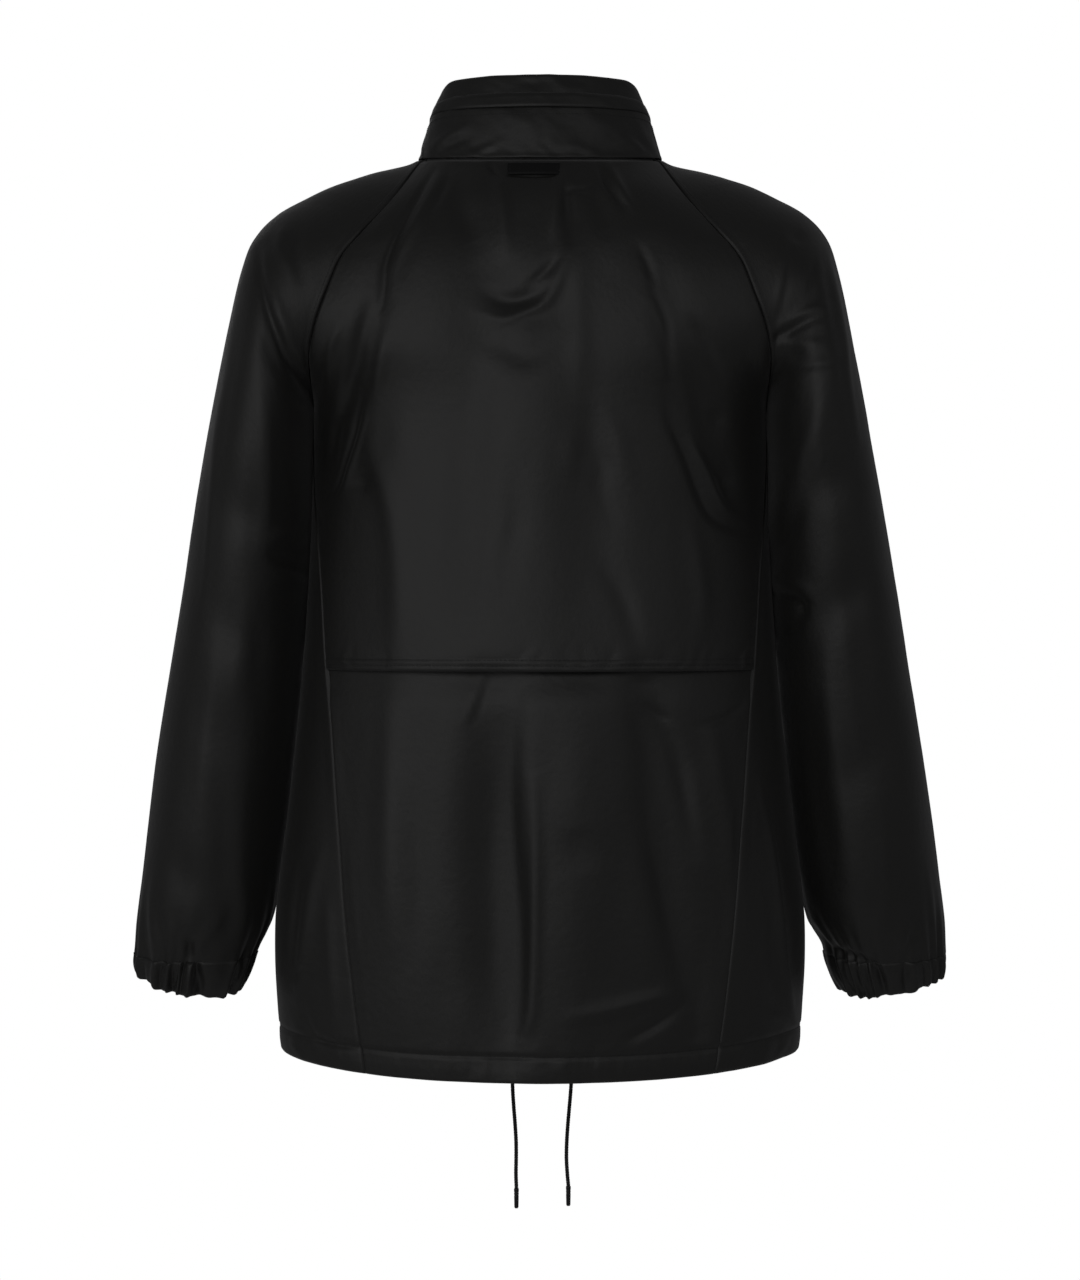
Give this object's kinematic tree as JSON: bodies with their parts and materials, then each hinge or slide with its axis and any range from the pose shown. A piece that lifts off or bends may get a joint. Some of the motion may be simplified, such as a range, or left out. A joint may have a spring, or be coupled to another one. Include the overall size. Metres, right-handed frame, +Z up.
{
  "type": "windbreaker jacket",
  "caption": "Hollow worn-form windbreaker with raglan sleeves, vented back yoke flap, high collar, gathered cuffs and a hem drawcord.",
  "frame": {"origin": "middle of the neck seam, level with the sides of the neck", "axes": "+Z up along the wearer's height, -Y the way the wearer faces, +X the wearer's left"},
  "size_m": [0.6556, 0.2485, 0.9196],
  "materials": {
    "shell": "black nylon taffeta with a soft satin sheen",
    "trim": "black woven tape",
    "dark_metal": "black lacquered die-cast metal",
    "cord": "black braided round cord",
    "cord_tip": "black plastic cord tip"
  },
  "bodies": {
    "jacket": {"back_cape": "shell", "back_lower": "shell", "front_left": "shell", "front_right": "shell", "sleeve_left": "shell", "sleeve_right": "shell", "cuff_left": "shell", "cuff_right": "shell", "collar_stand": "shell", "collar_top": "shell", "collar_welt": "shell", "hanger_loop": "trim", "zip_front": "trim", "zip_slider": "dark_metal", "cord_left": "cord", "cord_right": "cord", "tip_left": "cord_tip", "tip_right": "cord_tip"},
    "pull": {"zip_pull": "dark_metal"}
  },
  "joints": [
    {"name": "pull_swing", "type": "hinge", "parent": "jacket", "child": "pull", "pos_m": [0, -0.06579, -0.00679], "axis": [-1, 0, 0], "range_deg": [0, 150]}
  ]
}
